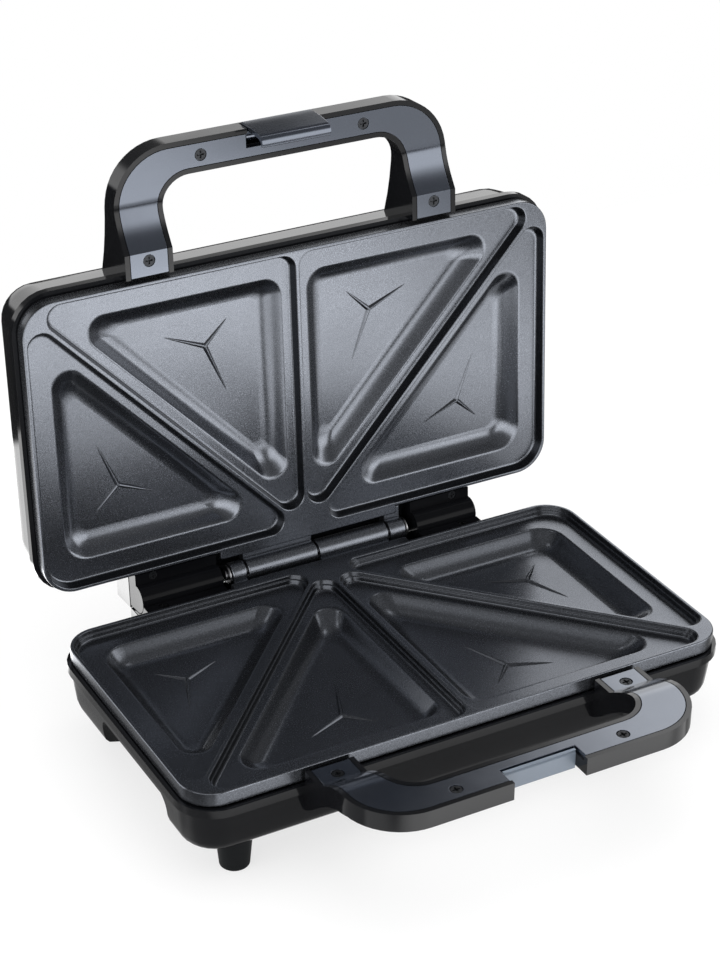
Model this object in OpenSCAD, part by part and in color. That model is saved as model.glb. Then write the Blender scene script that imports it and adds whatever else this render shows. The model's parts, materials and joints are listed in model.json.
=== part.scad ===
// Countertop sandwich toaster: a clam-shell cooker with a hinged lid, two cooking
// plates with four triangular pockets each, and a clip latch on the lid handle.
// Millimetres. X to the right, Y to the back, Z up, table at Z = 0.
// Everything is drawn in the "face frame": the plane where the two plates meet is
// Z = 0 and the middle of the plates is the origin. seat() lifts base pieces to
// their place; on_lid() also swings lid pieces open about the hinge.

/* [Cooking plates] */
// Width of a cooking plate, left to right
plate_w = 256; // [230:1:280]
// Depth of a cooking plate, front to back
plate_d = 135.6; // [120:0.1:150]
// Corner radius of the plates in plan
plate_r = 15; // [8:0.5:22]
// Height of the plate's outer wall
plate_t = 6.6; // [5:0.1:9]
// Width of the raised rim along the plate's outer edge
rim_w = 1.7; // [1.2:0.1:4]
// Half width of the sealing ridges between the pads
ridge_half = 0.9; // [0.5:0.1:2]
// How far the pads lie below rim and ridges
pad_drop = 4.4; // [3:0.1:5]
// How far the foot of a pad's wall stands in from its top edge
pad_draft = 1.2; // [0.6:0.1:2]
// Depth of a pocket, from the pad to its floor
pocket_depth = 7.6; // [5:0.2:12]
// Margin from the plate's edge to a pocket
pocket_edge = 12; // [9:0.5:16]
// Margin from a sealing ridge to a pocket
pocket_ridge = 6; // [4.5:0.5:9]
// Thickness of the cast metal round a pocket
cast_t = 2.6; // [2:0.1:4]
// Scale of the three-armed score ridges on the pocket floors
score_scale = 1; // [0.5:0.05:1.3]
// Height of the score ridge
score_h = 1.1; // [0.8:0.1:3]
// How far the middle of a plate's back edge reaches towards the hinge
tab_d = 3.8; // [1:0.1:6]

/* [Casings] */
// Outer width of both casings
case_w = 260; // [234:1:290]
// Outer depth of both casings, without handle and hinge
case_d = 140; // [124:1:156]
// Corner radius of the casings in plan
case_r = 18; // [14:0.5:26]
// Depth of the base casing from its rim to its underside
base_h = 23.8; // [22:0.1:34]
// Depth of the lid casing from its rim to its top
lid_h = 27.8; // [24:0.1:40]
// Height of the solid part of the base's side walls, between the corner legs
side_h = 8.6; // [6:0.1:14]
// Thickness of the casing walls
wall = 2.4; // [1.8:0.1:3.5]
// Gap between a plate's underside and the casing rim
rim_gap = 0.6; // [0.3:0.1:1.5]
// Height of the cooking face above the table
face_h = 48.6; // [42:0.1:60]

/* [Handles] */
// Half width over the outside of the handle legs
handle_half = 80; // [60:1:100]
// Width of a handle leg
leg_w = 22; // [16:1:30]
// Distance from the middle of the plates to the front of the base handle bar
bar_front = 125.5; // [110:0.5:140]
// How far the lid's bar stays behind the base's bar
lid_setback = 2.5; // [0:0.1:4]
// Width of the handle bar, front to back
bar_w = 17.5; // [14:0.5:26]
// Outer corner radius of the handle loop
loop_r = 26; // [20:1:45]
// Inner corner radius of the handle loop
loop_in_r = 13; // [6:1:20]
// How far the split between the handles climbs from the legs to the bar
split_rise = 8.4; // [0:0.1:12]
// Gap between the two handles when the lid is shut
split_gap = 1.4; // [0.8:0.1:3]
// Thickness of the base handle bar
base_bar_t = 8.1; // [7:0.1:12]
// Thickness of the lid handle bar
lid_bar_t = 9.3; // [8:0.1:14]
// Thickness of the handle cover plates
cover_t = 2.4; // [2:0.1:3]

/* [Hinge] */
// Distance from the middle of the plates to the hinge pin
hinge_y = 79.6; // [76:0.1:90]
// How far the lid stands open
lid_open = 93.5; // [0:0.5:100]
// Radius of the steel hinge pin
pin_r = 2.5; // [2:0.1:3.5]
// Outer radius of the cast hinge knuckles
knuckle_r = 5.2; // [4.5:0.1:7]
// Radius of the round nose of the lid's hinge covers
nose_r = 6.4; // [6:0.1:9]

/* [Latch] */
// Width of the latch clip
latch_w = 33; // [20:1:50]
// Turn of the latch clip about its pin, inwards to hook under the base bar
latch_turn = 0; // [0:0.5:9]

/* [Fits] */
// Radial clearance of a pin in the bore it turns in
run_fit = 0.05; // [0.02:0.01:0.1]
// Clearance between pieces that are laid into one another
lay_fit = 0.3; // [0.2:0.05:0.6]

/* [Hidden] */
eps = 0.01;
half_w = plate_w / 2;
half_d = plate_d / 2;
rim_z = -plate_t - rim_gap;            // casing rim, face frame
base_z = rim_z - base_h;               // underside of the base casing
lid_z = rim_z - lid_h;                 // top of the lid casing, drawn as its mirror image
pad_z = -pad_drop;
floor_z = pad_z - pocket_depth;        // pocket floor
bowl_z = floor_z - cast_t - 0.2;       // flat underside of a pocket
// handle
split_foot = split_gap / 2;            // half gap between the legs' feet
foot_y = half_d + 1.8;                 // front of plate to back of leg foot
root_y = min(foot_y - 3.6, case_d / 2 - 4);  // the legs' shells end here, inside the casing's wall
bend_y = foot_y + 11;                  // where the split starts to climb
climb_l = 20.5;                        // length of the climb
lid_front = bar_front - lid_setback;
function front(s) = s < 0 ? bar_front : lid_front;
bar_back = bar_front - bar_w;
base_bar_top = split_rise - split_foot;
lid_bar_low = split_rise + split_foot;
function bar_face(s) = s < 0 ? base_bar_top : lid_bar_low;
cover_in = 2.5;                        // outline groove to the edge of a handle
leg_x = handle_half - leg_w / 2;
bar_screw_x = 39;
bar_screw_in = 7.6;                    // bar screws behind the front of the bar
leg_screw_y = foot_y + 7.2;
screw_head_r = 2.5;
screw_shank_r = 1.3;
screw_l = 5.2;
boss_r = 3.3;                          // posts that the screws bite into
// hinge
knuckles_up = [[-32.5, 2.5], [40.7, 48.7]];
knuckles_low = [[-40.5, -33.7], [3.7, 39.5]];
pin_from = -43;
pin_to = 51.2;
ear_out = 86;
ear_in = [46, 54];                     // inner end of the left and right hinge ears
ear_back = [7.2, 8];                   // base and lid ears behind the hinge pin
ear_drop = 8.3;                        // ears stay this far below the cooking face
ear_h = 14;
hinge_screw_x = 77;
hinge_screw_y = half_d + 2.7;
hinge_screw_l = 12;
hinge_bore_h = 8;                      // depth of its bore below the top of the ear
wire_way = [62, 9];                    // wire way of the right ears: from, width in x
// feet and plate fixings; the front feet plug the screw holes of the front posts
foot_at = [[case_w / 2 - 26, 17 - case_d / 2], [case_w / 2 - 21, case_d / 2 - 17]];
foot_h = face_h + base_z;
foot_top_r = 8;
head_bore_r = 4;                       // bore for a plate screw's head and a foot's neck
post_at = [foot_at[0], [27, case_d / 2 - 15.2]];
post_r = 4.5;
post_z = -12;
// heater
tube_r = 3.3;
loop_x = 62;
loop_y = 30;
tube_z = bowl_z - tube_r;
strap_x = 40;
strap_y = -10;
strap_t = 1.2;
reflector_z = -26;
reflector_t = 0.8;
tray_w = case_w - 56;                  // reflector tray
tray_d = case_d - 40;
tray_r = 10;
tray_hole_r = 1.6;
pillar_at = [[tray_w / 2 - 16, 38], [tray_w / 2 - 16, -38]];
// latch, face frame
latch_y = -(lid_front - 4.2);
latch_z = lid_bar_low + 4.6;
latch_pin_r = 1;
latch_slot = latch_w + 0.8;
catch_t = 1.4;                         // thickness of the catch lining
notch_d = 8.2 + catch_t;               // depth of the catch notch in the base bar
// cord inlet
gland_x = case_w / 2 - 30;
gland_z = -20;
gland_r = 5.6;

// Piece to draw

/* ---------- placing ---------- */
module seat() translate([0, 0, face_h]) children();
module on_lid()
    seat() translate([0, hinge_y, 0]) rotate([-lid_open, 0, 0]) translate([0, -hinge_y, 0]) children();
module flip() mirror([0, 0, 1]) children();
module both() {
    children();
    mirror([1, 0, 0]) children();
}

/* ---------- outlines ---------- */
function unit(v) = v / norm(v);
// polygon P (anticlockwise) with edge i moved inwards by E[i]
function inset_poly(P, E) = let (n = len(P)) [for (i = [0:n - 1]) let (
    a = P[(i + n - 1) % n], b = P[i], c = P[(i + 1) % n],
    d1 = unit(b - a), d2 = unit(c - b),
    n1 = [-d1[1], d1[0]], n2 = [-d2[1], d2[0]],
    p1 = b + n1 * E[(i + n - 1) % n], p2 = b + n2 * E[i],
    k = ((p2 - p1) * [-d2[1], d2[0]]) / (d1 * [-d2[1], d2[0]])) p1 + d1 * k];
// polygon P with its corners rounded to the radii R, s steps each
function round_poly(P, R, s = 7) = let (n = len(P)) [for (i = [0:n - 1]) let (
    a = P[(i + n - 1) % n], b = P[i], c = P[(i + 1) % n],
    u = unit(a - b), v = unit(c - b), h = acos(u * v) / 2,
    m = unit(u + v), o = b + m * R[i] / sin(h),
    q = b + u * R[i] / tan(h), t0 = atan2(q[1] - o[1], q[0] - o[0]), w = 180 - 2 * h)
    for (j = [0:s]) o + R[i] * [cos(t0 + w * j / s), sin(t0 + w * j / s)]];
function rect(w, d) = [[-w / 2, -d / 2], [w / 2, -d / 2], [w / 2, d / 2], [-w / 2, d / 2]];
function rrect(w, d, r, s = 7) = round_poly(rect(w, d), [r, r, r, r], s);
function lift(P, z) = [for (p = P) [p[0], p[1], z]];

// solid through rings of equal length, lowest first
module loft(rings) {
    n = len(rings[0]);
    m = len(rings);
    polyhedron(points = [for (r = rings) each r],
        faces = concat([[for (i = [0:n - 1]) i]], [[for (i = [n - 1:-1:0]) (m - 1) * n + i]],
            [for (k = [0:m - 2]) for (i = [0:n - 1]) each let (
                a = k * n + i, b = k * n + (i + 1) % n, d = a + n, c = b + n) [[a, d, c], [a, c, b]]]));
}

/* ---------- cooking plates ---------- */
side_cell = [[-half_w, -half_d], [0, half_d], [-half_w, half_d]];
front_cell = [[-half_w, -half_d], [0, -half_d], [0, half_d]];
pad_r = 6.5;                           // corner radius of a pad
function pad_outline(c, e) = let (r = pad_r - e * 0.6, h = ridge_half + e, w = rim_w + e)
    c == 0 ? round_poly(inset_poly(side_cell, [h, w, w]), [r, r, plate_r - w])
    : round_poly(inset_poly(front_cell, [w, h, h]), [r, r, r]);
// draft and depth share of a pad's wall, from its foot up: plain, or stepped half way
pad_walls = [[[1, 1], [0, 0]], [[1.25, 1], [0.8, 0.5], [0.4, 0.46], [0, 0]]];
module pad(c, wall_kind) loft(concat([for (k = pad_walls[wall_kind])
    lift(pad_outline(c, k[0] * pad_draft), -pad_drop * k[1])], [lift(pad_outline(c, 0), 1)]));
function side_pocket(e) = let (r = pocket_ridge + e, m = pocket_edge + e)
    round_poly(inset_poly(side_cell, [r, m, m]),
        [max(8 - e * 0.55, 1.5), max(8 - e * 0.55, 1.5), max(12 - e * 0.7, 2)], 5);
function front_pocket(e) = let (r = pocket_ridge + e, m = pocket_edge + e)
    round_poly(inset_poly(front_cell, [m, r, r]),
        [max(8 - e * 0.55, 1.5), max(9 - e * 0.6, 2), max(8 - e * 0.55, 1.5)], 5);
// inset and share of the depth of each ring of a pocket wall
pocket_wall = [[9.6, 1], [7.6, 0.95], [5.6, 0.82], [3.8, 0.6], [1.8, 0.24], [0.7, 0.05], [0, 0]];

module pocket(c) {
    loft(concat([for (k = pocket_wall) let (e = k[0], z = pad_z - pocket_depth * k[1])
        lift(c == 0 ? side_pocket(e) : front_pocket(e), z)],
        [lift(c == 0 ? side_pocket(0) : front_pocket(0), 1)]));
}
module bowl(c) {
    out = -cast_t;
    loft(concat([for (k = [[8.4, 1], [5.4, 0.93], [2.6, 0.62], [0, 0.1]]) let (e = k[0] + out,
        z = bowl_z + (1 - k[1]) * (pad_z - bowl_z - 1))
        lift(c == 0 ? side_pocket(e) : front_pocket(e), z)],
        [lift(c == 0 ? side_pocket(out) : front_pocket(out), pad_z - 1)]));
}
// centre of a pocket floor, where the score ridge stands
score_at = [[-86.2, 27.8], [-40.8, -27.8]];
score_tips = [[[-112, 24], [23, 20], [136, 15.5]], [[-157, 21.5], [-44, 16.5], [68, 25.5]]];
module score(c) {
    tips = score_tips[c];
    notch_r = 0.9;
    ring = [for (i = [0:2]) each let (
        t = tips[i][0], n = tips[(i + 1) % 3][0] + (i == 2 ? 360 : 0), mid = (t + n) / 2,
        l = tips[i][1] * score_scale)
        [[cos(t) * l, sin(t) * l, 0], [cos(mid) * notch_r, sin(mid) * notch_r, 0]]];
    translate([score_at[c][0], score_at[c][1], floor_z - 0.05])
        polyhedron(points = concat(ring, [[0, 0, score_h + 0.05], [0, 0, -0.6]]),
            faces = [for (i = [0:5]) each [[i, 6, (i + 1) % 6], [(i + 1) % 6, 7, i]]]);
}

module knuckle(x) {
    translate([x[0], hinge_y, 0]) rotate([0, 90, 0]) cylinder(h = x[1] - x[0], r = knuckle_r, $fn = 48);
    translate([x[0], half_d - 1, -plate_t]) cube([x[1] - x[0], hinge_y - half_d + 1, plate_t - 1.4]);
}

tab_x = [-44, 46.5];
module plate(knuckles, bore, wall_kind) {
    difference() {
        union() {
            translate([0, 0, -plate_t]) linear_extrude(plate_t) polygon(rrect(plate_w, plate_d, plate_r, 9));
            both() {
                for (c = [0, 1]) bowl(c);
                for (p = post_at) translate([p[0], p[1], post_z])
                    cylinder(h = -post_z - plate_t + 1, r = post_r, $fn = 32);
                translate([strap_x, strap_y, tube_z - tube_r])
                    cylinder(h = tube_r * 2 + 1.4, r = 4, $fn = 32);
            }
            for (k = knuckles) knuckle(k);
            translate([tab_x[0], half_d - 5, -plate_t]) cube([tab_x[1] - tab_x[0], 5 + tab_d, plate_t]);
        }
        both() {
            for (c = [0, 1]) pad(c, wall_kind);
            for (c = [0, 1]) pocket(c);
            for (p = post_at) translate([p[0], p[1], post_z - 1])
                cylinder(h = 1 - post_z - plate_t + 0.8, r = 1.7, $fn = 24);
            translate([strap_x, strap_y, tube_z - tube_r - 1]) cylinder(h = 7.4, r = screw_shank_r, $fn = 24);
        }
        translate([pin_from - 5, hinge_y, 0]) rotate([0, 90, 0])
            cylinder(h = pin_to - pin_from + 10, r = bore, $fn = 48);
    }
    both() for (c = [0, 1]) score(c);
}

module lower_plate() color("#4b4d52") seat() plate(knuckles_low, pin_r, 1);
module upper_plate() color("#6b6e75") on_lid() flip() plate(knuckles_up, pin_r + run_fit, 0);

/* ---------- heaters, the same under both plates ---------- */
module half_ring(r, t) rotate_extrude(angle = 180, $fn = 64) translate([r, 0]) circle(r = t, $fn = 24);
module heater() {
    translate([0, 0, tube_z]) {
        translate([-loop_x, -loop_y, 0]) rotate([0, 90, 0]) cylinder(h = 2 * loop_x, r = tube_r, $fn = 24);
        both() {
            translate([loop_x, 0, 0]) rotate([0, 0, -90]) half_ring(loop_y, tube_r);
            translate([14, loop_y, 0]) rotate([0, 90, 0]) cylinder(h = loop_x - 14, r = tube_r, $fn = 24);
            translate([6, loop_y, 0]) rotate([0, 90, 0]) cylinder(h = 8.5, r = 1.5, $fn = 24);
        }
    }
}
module straps() both() translate([strap_x, 0, tube_z - tube_r - strap_t]) difference() {
    translate([-5, -loop_y - 6, 0]) cube([10, 2 * loop_y + 12, strap_t]);
    translate([0, strap_y, -1]) cylinder(h = strap_t + 2, r = screw_shank_r + 0.2, $fn = 24);
}
// pan-head screw, head top at z = 0, pointing down
module screw(head_r, head_h, shank_r, l) difference() {
    union() {
        translate([0, 0, -head_h]) cylinder(h = head_h, r = head_r, $fn = 32);
        translate([0, 0, -head_h - l]) cylinder(h = l + eps, r = shank_r, $fn = 24);
    }
    for (a = [0, 90]) rotate([0, 0, a])
        translate([-head_r * 0.66, -head_r * 0.16, -head_h * 0.7])
            cube([head_r * 1.32, head_r * 0.32, head_h]);
}
module strap_screws() both() translate([strap_x, strap_y, tube_z - tube_r - strap_t])
    flip() translate([0, 0, 1.6]) screw(2.6, 1.6, screw_shank_r - 0.02, 6.4);
module reflector() difference() {
    union() {
        translate([0, -2, reflector_z]) linear_extrude(reflector_t) polygon(rrect(tray_w, tray_d, tray_r));
        translate([0, -2, reflector_z]) difference() {
            linear_extrude(5) polygon(rrect(tray_w, tray_d, tray_r));
            translate([0, 0, -1]) linear_extrude(7)
                polygon(rrect(tray_w - 2 * reflector_t, tray_d - 2 * reflector_t, tray_r - reflector_t));
        }
    }
    both() for (p = pillar_at) translate([p[0], p[1], reflector_z - 1])
        cylinder(h = 3, r = tray_hole_r, $fn = 24);
}

module lower_heater() color("#8d8f93") seat() heater();
module lower_straps() color("#b9bbbe") seat() straps();
module lower_strap_screws() color("#c9cacc") seat() strap_screws();
module lower_reflector() color("#d0d2d4") seat() reflector();
module upper_heater() color("#8d8f93") on_lid() flip() heater();
module upper_straps() color("#b9bbbe") on_lid() flip() straps();
module upper_strap_screws() color("#c9cacc") on_lid() flip() strap_screws();
module upper_reflector() color("#d0d2d4") on_lid() flip() reflector();

/* ---------- casings ---------- */
// inset and depth share of each ring of a casing's outer face, deepest first; base and lid
case_rings = [
    [[8.4, 1], [5.6, 0.965], [4, 0.89], [3.2, 0.78], [2.4, 0.5], [1.7, 0.22], [1.4, 0.175], [0, 0.16],
        [0, 0]],
    [[9.8, 1], [6.6, 0.965], [4.6, 0.88], [3.7, 0.78], [3.1, 0.62], [2, 0.3], [1.4, 0.15], [0, 0.135],
        [0, 0]]];
case_hs = [base_h, lid_h];
module case_body(kind, e, top, floor) let (rings = case_rings[kind], h = case_hs[kind])
    loft([for (i = [0:len(rings) - 1]) let (k = rings[i], in = k[0] + e,
        z = i == len(rings) - 1 ? top : max(rim_z - h * k[1], rim_z - h + floor + i * 0.3))
        lift(rrect(case_w - 2 * in, case_d - 2 * in, max(case_r - in * 0.8, 3)), z)]);
// the hollow under each side of the base, between its corner legs, grown by e
arch_y = [31 - case_d / 2, case_d / 2 - 45];
arch_x = case_w / 2 - 22;
arch_slope = 0.35;
module arches(e) both() intersection() {
    translate([0, 200, 0]) rotate([90, 0, 0]) linear_extrude(400) polygon([[arch_x - e, -100],
        [arch_x - e, rim_z - side_h - arch_slope * (case_w / 2 - arch_x) + e],
        [case_w / 2 + 10, rim_z - side_h + arch_slope * 10 + e], [case_w / 2 + 10, -100]]);
    rotate([90, 0, 90]) linear_extrude(200) polygon(round_poly([[arch_y[0] - e, -90], [arch_y[1] + e, -90],
        [arch_y[1] + e, rim_z - side_h + e], [arch_y[0] - e, rim_z - side_h + e]], [1, 1, 7, 7]));
}

// hinge ear of the casing, right side: [from, to] in x
module ear(x, e, end) translate([x[0] + e, case_d / 2 - 12, -ear_drop - ear_h + e])
    cube([x[1] - x[0] - 2 * e, hinge_y + end - case_d / 2 + 12 - e, ear_h - 2 * e]);
module ears(e, end) {
    ear([-ear_out, -ear_in[0]], e, end);
    ear([ear_in[1], ear_out], e, end);
}

// outline of the handle loop in plan, edge moved in by e
module loop_plan(e, f) difference() {
    polygon(round_poly([[-handle_half + e, -f + e], [handle_half - e, -f + e],
        [handle_half - e, 0], [-handle_half + e, 0]], [loop_r - e, loop_r - e, 1, 1], 12));
    x = handle_half - leg_w + e;
    polygon(round_poly([[-x, -bar_back - e], [x, -bar_back - e], [x, 10], [-x, 10]],
        [loop_in_r + e, loop_in_r + e, 1, 1], 10));
}
// the split line from the feet to the bar, points [y, z], shifted by dz
function split_line(dz) = concat([[-foot_y, dz]],
    [for (i = [0:9]) [-bend_y - climb_l * i / 9, dz + split_rise * sin(90 * i / 9)]],
    [[-bar_front - 1, split_rise + dz]]);
function back(P) = [for (i = [len(P) - 1:-1:0]) P[i]];
// slab across the handle from a side outline [y, z]
module side_cut(P) rotate([90, 0, 90]) translate([0, 0, -handle_half - 1])
    linear_extrude(2 * handle_half + 2) polygon(P);
// material between two side lines, inside the loop outline
module loop_body(P, e, f) intersection() {
    translate([0, 0, -40]) linear_extrude(80) loop_plan(e, f);
    side_cut(P);
}
// outer faces of the two handles, front to back
base_under = [[-bar_front - 1, base_bar_top - base_bar_t], [-104, base_bar_top - base_bar_t], [-96, -2.2],
    [-89, -5.5], [-82, -10.5], [-76, -15.5], [-71, -19], [-root_y, -21]];
lid_over = [[-bar_front - 1, lid_bar_low + lid_bar_t], [-101, lid_bar_low + lid_bar_t + 0.2], [-92, 19.6],
    [-84, 21.2], [-76, 23.4], [-70, 25.6], [-root_y, 27]];
function shift(P, dz) = [for (p = P) [p[0], p[1] + dz]];

// handle shell; outer = line of the outer face, s = -1 base, 1 lid
module handle_shell(outer, s) difference() {
    loop_body(concat(split_line(s * split_foot), outer, [[-root_y, s * 9], [-foot_y, s * 9]]), 0, front(s));
    // bed of the cover plate
    loop_body(concat(shift(split_line(s * split_foot), s * cover_t),
        back(shift(split_line(s * split_foot), -s * 3))), cover_in - lay_fit, front(s));
    // hollow under the cover, behind the ledge that carries it
    intersection() {
        loop_body(concat(shift(split_line(s * split_foot), s * cover_t - s * eps), shift(outer, -s * wall)),
            cover_in + 2, front(s));
        both() translate([latch_slot / 2 + 4, -bar_front, -50])
            cube([handle_half, bar_front - foot_y - 3.5, 100]);
    }
}
// children at the four screws of a handle, dz into the handle from its split face
module screw_spots(s, dz = 0) both() {
    translate([bar_screw_x, -front(s) + bar_screw_in, bar_face(s) + s * dz]) children();
    translate([leg_x, -leg_screw_y, s * (split_foot + dz)]) children();
}
module handle_cover(s) difference() {
    intersection() {
        loop_body(concat(shift(split_line(s * split_foot), s * cover_t), back(split_line(s * split_foot))),
            cover_in, front(s));
        translate([-200, -200, -50]) cube([400, 200 - foot_y - 0.6, 100]);
    }
    screw_spots(s) {
        translate([0, 0, s < 0 ? -1.3 : -3]) cylinder(h = 4.3, r = screw_head_r + 0.25, $fn = 32);
        translate([0, 0, -5]) cylinder(h = 10, r = screw_shank_r + 0.15, $fn = 24);
    }
}
// posts under the cover for its screws
module handle_bosses(outer_bar, outer_leg, s) {
    z_bar = bar_face(s) + s * cover_t;
    z_leg = s * (split_foot + cover_t);
    both() {
        translate([bar_screw_x, -front(s) + bar_screw_in, min(z_bar, outer_bar)])
            cylinder(h = abs(outer_bar - z_bar), r = boss_r, $fn = 32);
        translate([leg_x, -leg_screw_y, min(z_leg, outer_leg)])
            cylinder(h = abs(outer_leg - z_leg), r = boss_r, $fn = 32);
    }
}
module handle_screw_set(s) screw_spots(s, 0.2)
    if (s < 0) screw(screw_head_r, 1.1, screw_shank_r, screw_l);
    else flip() screw(screw_head_r, 1.1, screw_shank_r, screw_l);
module handle_bores(s) screw_spots(s)
    if (s < 0) translate([0, 0, -1.5 - screw_l]) cylinder(h = 12, r = screw_shank_r, $fn = 24);
    else translate([0, 0, 1.5 + screw_l - 12]) cylinder(h = 12, r = screw_shank_r, $fn = 24);

// outer shell with its hollow, ears and inner posts; base side, the lid is its mirror image
module casing_common(kind) {
    ear_end = ear_back[kind];
    low = rim_z - case_hs[kind];
    difference() {
        union() {
            case_body(kind, 0, rim_z, 0);
            ears(0, ear_end);
            // shelf behind the knuckles, from ear to ear
            translate([-ear_in[0] - wall, case_d / 2 - 1, -ear_drop - wall])
                cube([ear_in[0] + ear_in[1] + 2 * wall, hinge_y + ear_end - case_d / 2 + 1, wall]);
        }
        difference() {
            case_body(kind, wall, rim_z + 2, wall);
            if (kind == 0) arches(wall);
        }
        if (kind == 0) arches(0);
        difference() {
            ears(wall, ear_end);
            both() translate([hinge_screw_x, hinge_screw_y, -ear_drop - ear_h])
                cylinder(h = ear_h, r = boss_r, $fn = 32);
        }
    }
    intersection() {
        case_body(kind, wall / 2, rim_z, wall / 2);
        both() {
            for (p = post_at) translate([p[0], p[1], low]) cylinder(h = post_z - low, r = 5.4, $fn = 32);
            for (p = pillar_at) {
                translate([p[0], p[1], low]) cylinder(h = reflector_z - low, r = 3.2, $fn = 24);
                translate([p[0], p[1], reflector_z - eps]) cylinder(h = reflector_t + 1, r = 1.4, $fn = 24);
            }
        }
    }
}
module plate_screw_bores(low) both() for (p = post_at) translate([p[0], p[1], low - 1]) {
    cylinder(h = -low, r = 2.15, $fn = 24);
    cylinder(h = 9, r = head_bore_r, $fn = 32);
}

// screw bores of both ears and the wire way into the right one
module ear_cuts() {
    both() translate([hinge_screw_x, hinge_screw_y, -ear_drop - hinge_bore_h])
        cylinder(h = hinge_bore_h + ear_drop + rim_z + 1, r = screw_shank_r, $fn = 24);
    translate([wire_way[0], case_d / 2 - 12, -20]) cube([wire_way[1], 12, 7]);
}

module base_casing() color("#16171a") seat() difference() {
    union() {
        casing_common(0);
        handle_shell(base_under, -1);
        handle_bosses(base_bar_top - base_bar_t + 1, -16, -1);
    }
    plate_screw_bores(base_z);
    handle_bores(-1);
    // catch notch in the middle of the bar
    translate([-latch_slot / 2, -bar_front - 1, -10]) cube([latch_slot, notch_d + 1, 30]);
    both() {
        for (p = foot_at) translate([p[0], p[1], base_z - 1])
            cylinder(h = wall + 2, r = head_bore_r, $fn = 32);
        // vent slots in the underside
        for (i = [0:4]) translate([22 + i * 9, -26, base_z - 1]) cube([3.4, 40, wall + 2]);
    }
    ear_cuts();
    // hole for the cord gland
    translate([gland_x, case_d / 2 + 2, gland_z]) rotate([90, 0, 0]) cylinder(h = 12, r = gland_r, $fn = 48);
}

lamp_at = [[-9, -34], [9, -34]];
lamp_r = 3.6;
module lid_casing() color("#16171a") on_lid() difference() {
    union() {
        flip() casing_common(1);
        handle_shell(lid_over, 1);
        handle_bosses(lid_bar_low + lid_bar_t - 1, 20, 1);
    }
    handle_bores(1);
    // slot of the latch clip in the middle of the bar
    translate([-latch_slot / 2, -lid_front - 1, lid_bar_low - 1])
        cube([latch_slot, 8.8, latch_z - lid_bar_low + 4.6]);
    // latch pin bores
    translate([-latch_slot / 2 - 4, latch_y, latch_z]) rotate([0, 90, 0])
        cylinder(h = latch_slot + 8, r = latch_pin_r, $fn = 32);
    flip() {
        plate_screw_bores(lid_z);
        ear_cuts();
        for (p = lamp_at) translate([p[0], p[1], lid_z - 1]) cylinder(h = 5, r = lamp_r, $fn = 32);
    }
}

module base_handle_cover() color("#3a3f47") seat() difference() {
    handle_cover(-1);
    translate([-latch_slot / 2 - 0.8, -bar_front - 1, -10]) cube([latch_slot + 1.6, notch_d + 1.8, 30]);
}
module lid_handle_cover() color("#3a3f47") on_lid() difference() {
    handle_cover(1);
    translate([-latch_slot / 2 - 0.8, -lid_front - 1, -10]) cube([latch_slot + 1.6, 9.6, 40]);
}
module base_handle_screws() color("#9a9ca0") seat() handle_screw_set(-1);
module lid_handle_screws() color("#9a9ca0") on_lid() handle_screw_set(1);
// grey lining of the notch; the clip hooks under its lower edge
module latch_catch() color("#8c929c") seat() translate([0, -bar_front + notch_d, 0]) difference() {
    translate([-latch_slot / 2, -catch_t, base_bar_top - base_bar_t - catch_t])
        cube([latch_slot, catch_t, base_bar_t + catch_t - 0.6]);
    translate([-latch_slot / 2 - 1, -catch_t, base_bar_top - 2.2]) rotate([45, 0, 0])
        cube([latch_slot + 2, 1, 3]);
}

/* ---------- hinge ---------- */
module hinge_pin() color("#c3c5c8") seat() translate([pin_from, hinge_y, 0]) rotate([0, 90, 0]) difference() {
    cylinder(h = pin_to - pin_from, r = pin_r, $fn = 48);
    for (z = [1, pin_to - pin_from - 1.9]) translate([0, 0, z]) difference() {
        cylinder(h = 0.9, r = pin_r + 1, $fn = 48);
        translate([0, 0, -1]) cylinder(h = 3, r = pin_r - 0.5, $fn = 48);
    }
}
module pin_clips() color("#8f9296") seat() for (x = [pin_from + 1.05, pin_to - 1.85])
    translate([x, hinge_y, 0]) rotate([0, 90, 0]) difference() {
        cylinder(h = 0.8, r = pin_r + 2, $fn = 48);
        translate([0, 0, -1]) cylinder(h = 3, r = pin_r - 0.5, $fn = 48);
        translate([-1.4, 0, -1]) cube([2.8, 6, 3]);
    }

// points [y, z] of an arc about the pin
function arc(r, a0, a1, s = 12) = [for (i = [0:s]) let (a = a0 + (a1 - a0) * i / s)
    [hinge_y + r * cos(a), r * sin(a)]];
module along_x(x, P) translate([x[0], 0, 0]) rotate([90, 0, 90]) linear_extrude(x[1] - x[0]) polygon(P);
hinge_face = half_d + 0.6;
// front edge of a hinge cover: over the casing rim, then down to the ear
function cover_front(s) = [[case_d / 2 + lay_fit, s * ear_drop],
    [case_d / 2 + lay_fit, -s * (rim_z + lay_fit)], [hinge_face, -s * (rim_z + lay_fit)],
    [hinge_face, s * split_foot]];
// base cover: a cradle under the lid's round nose
module base_hinge_cover(x) {
    xs = x[0] + x[1] > 0 ? hinge_screw_x : -hinge_screw_x;
    difference() {
        along_x([x[0] + 0.2, x[1] - 0.2], concat(cover_front(-1),
            arc(nose_r + 0.4, 186, 270), [[hinge_y + 2, -ear_drop + 1.2], [hinge_y + 4, -ear_drop]]));
        translate([xs, hinge_screw_y, -20]) cylinder(h = 30, r = screw_shank_r + 0.15, $fn = 24);
        translate([xs, hinge_screw_y, -split_foot - 1.3]) cylinder(h = 5, r = 2.15, $fn = 32);
    }
}
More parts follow.
